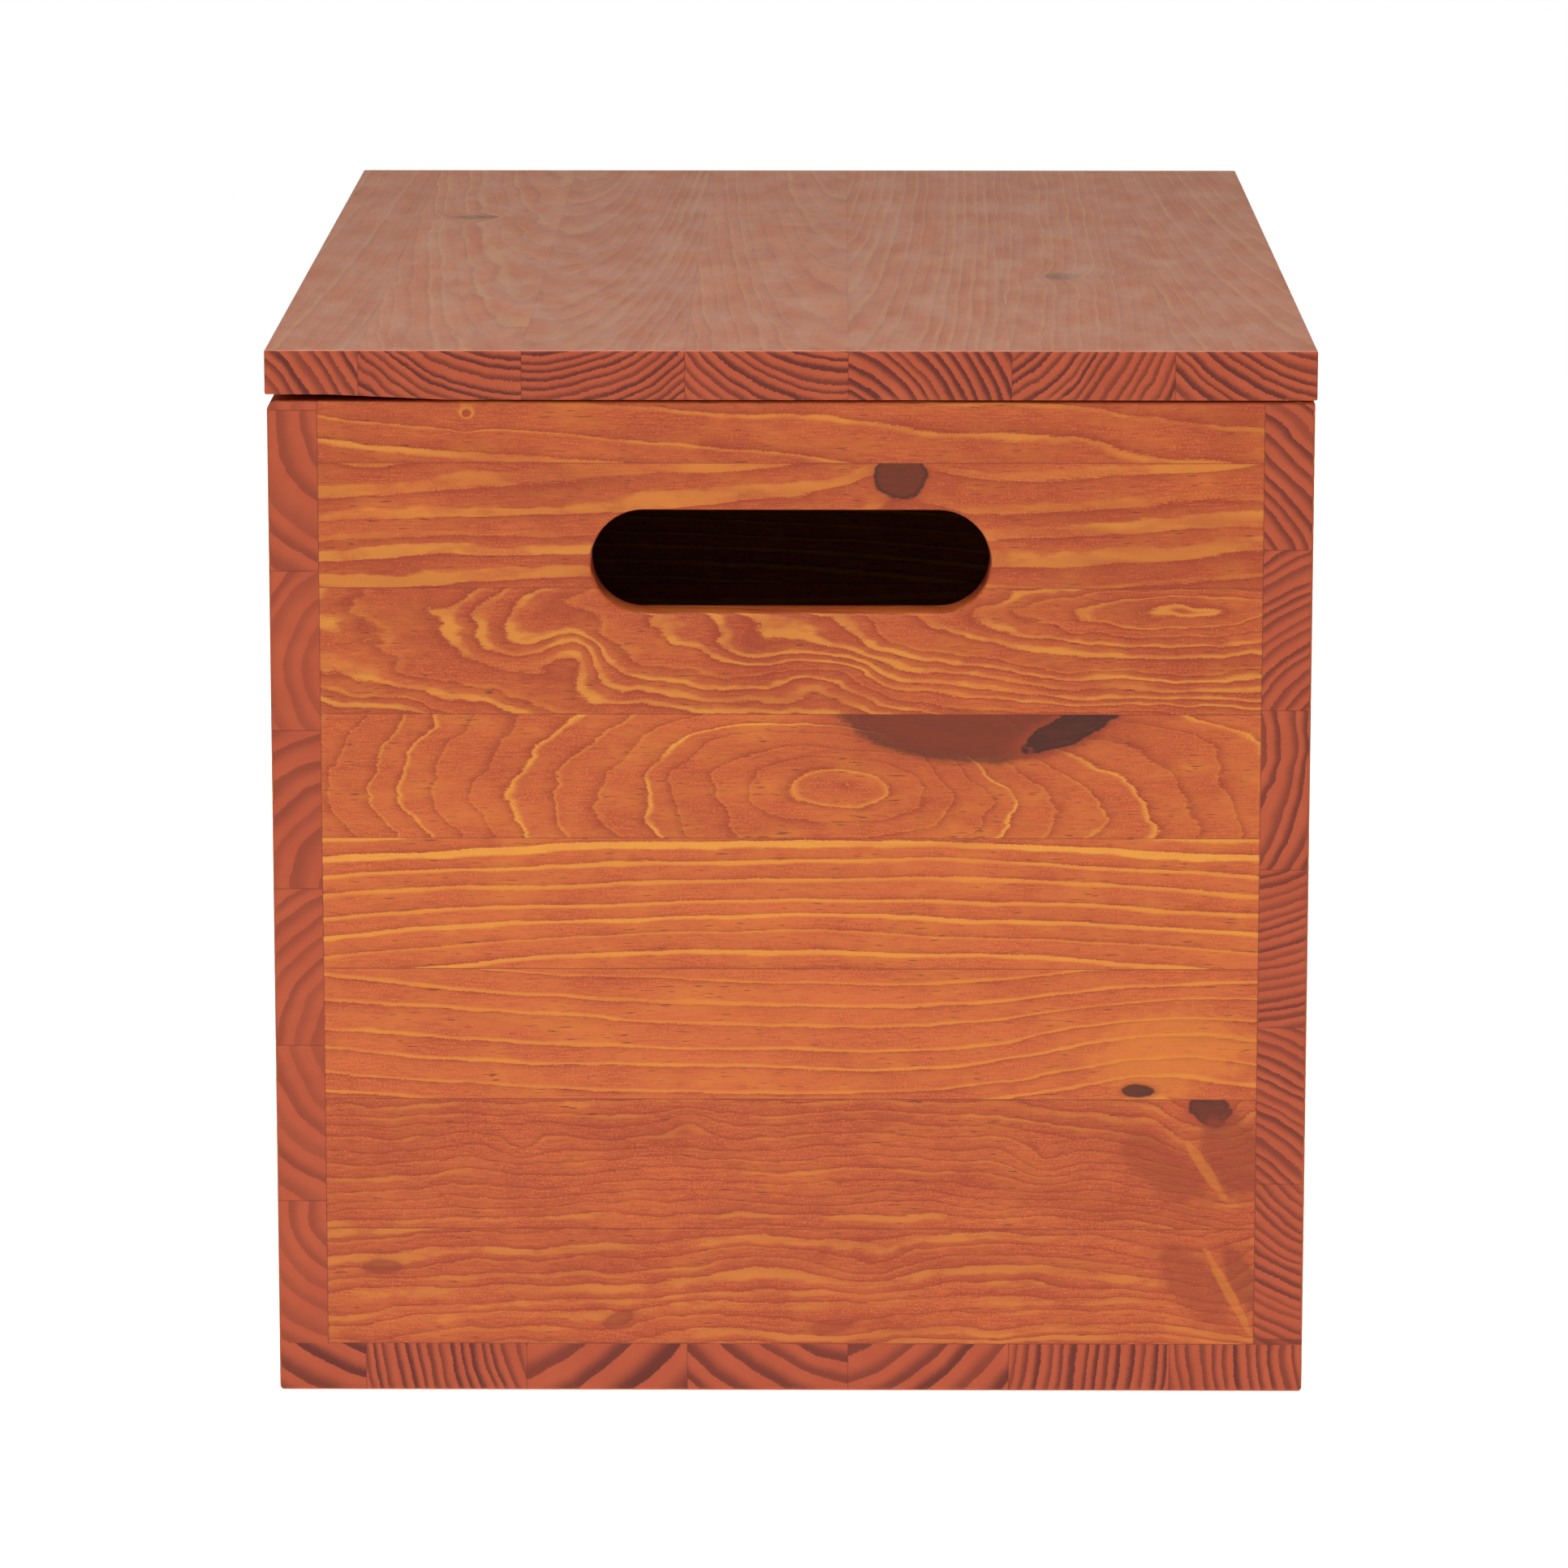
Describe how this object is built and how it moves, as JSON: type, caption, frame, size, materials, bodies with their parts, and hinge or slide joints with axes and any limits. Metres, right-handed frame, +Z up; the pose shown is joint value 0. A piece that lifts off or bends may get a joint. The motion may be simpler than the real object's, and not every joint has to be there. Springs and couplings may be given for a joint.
{
  "type": "toy box",
  "caption": "Stained pine toy chest with a hinged board lid, oval hand slots in both ends, dowelled corners and a folding lid stay.",
  "frame": {"origin": "centre of the base board's underside", "axes": "+Z up; -Y is the short front end with its hand slot; +X is the long hinge side, over which the lid opens"},
  "size_m": [0.4077, 0.601, 0.4106],
  "materials": {
    "stained_pine": "red-brown stain under satin varnish",
    "beech_dowel": "bare beech",
    "brass_hinge": "satin brass",
    "zinc_steel": "zinc plated"
  },
  "bodies": {
    "box": {"base_panel": "stained_pine", "left_side_panel": "stained_pine", "right_side_panel": "stained_pine", "front_end_panel": "stained_pine", "back_end_panel": "stained_pine", "base_dowels_left": "beech_dowel", "base_dowels_right": "beech_dowel", "base_dowels_front": "beech_dowel", "base_dowels_back": "beech_dowel", "corner_dowels_front_left": "beech_dowel", "corner_dowels_front_right": "beech_dowel", "corner_dowels_back_left": "beech_dowel", "corner_dowels_back_right": "beech_dowel", "hinge_leaf_box_front": "brass_hinge", "hinge_pin_front": "brass_hinge", "hinge_leaf_box_back": "brass_hinge", "hinge_pin_back": "brass_hinge", "hinge_screws_box": "brass_hinge", "stay_body": "zinc_steel", "stay_spindle": "zinc_steel", "stay_body_screws": "zinc_steel"},
    "lid": {"lid_panel": "stained_pine", "hinge_leaf_lid_front": "brass_hinge", "hinge_leaf_lid_back": "brass_hinge", "hinge_screws_lid": "brass_hinge", "stay_lid_bracket": "zinc_steel", "stay_bracket_screws": "zinc_steel", "stay_bracket_rivet": "zinc_steel"},
    "stay_arm": {"stay_arm": "zinc_steel"},
    "stay_link": {"stay_link": "zinc_steel", "stay_elbow_rivet": "zinc_steel"}
  },
  "joints": [
    {"name": "lid_hinge", "type": "hinge", "parent": "box", "child": "lid", "pos_m": [0.204, 0, 0.3913], "axis": [0, 1, 0], "range_deg": [0, 100]},
    {"name": "stay_arm_pivot", "type": "hinge", "parent": "box", "child": "stay_arm", "pos_m": [0.152, 0.26925, 0.3093], "axis": [0, 1, 0], "range_deg": [0, 100]},
    {"name": "stay_elbow_pivot", "type": "hinge", "parent": "stay_arm", "child": "stay_link", "pos_m": [0.086, 0.2678, 0.2973], "axis": [0, 1, 0], "range_deg": [-100, 0]}
  ],
  "couplings": [
    {"joint": "stay_arm_pivot", "follows": "lid_hinge", "ratio": 1},
    {"joint": "stay_elbow_pivot", "follows": "lid_hinge", "ratio": -1}
  ]
}
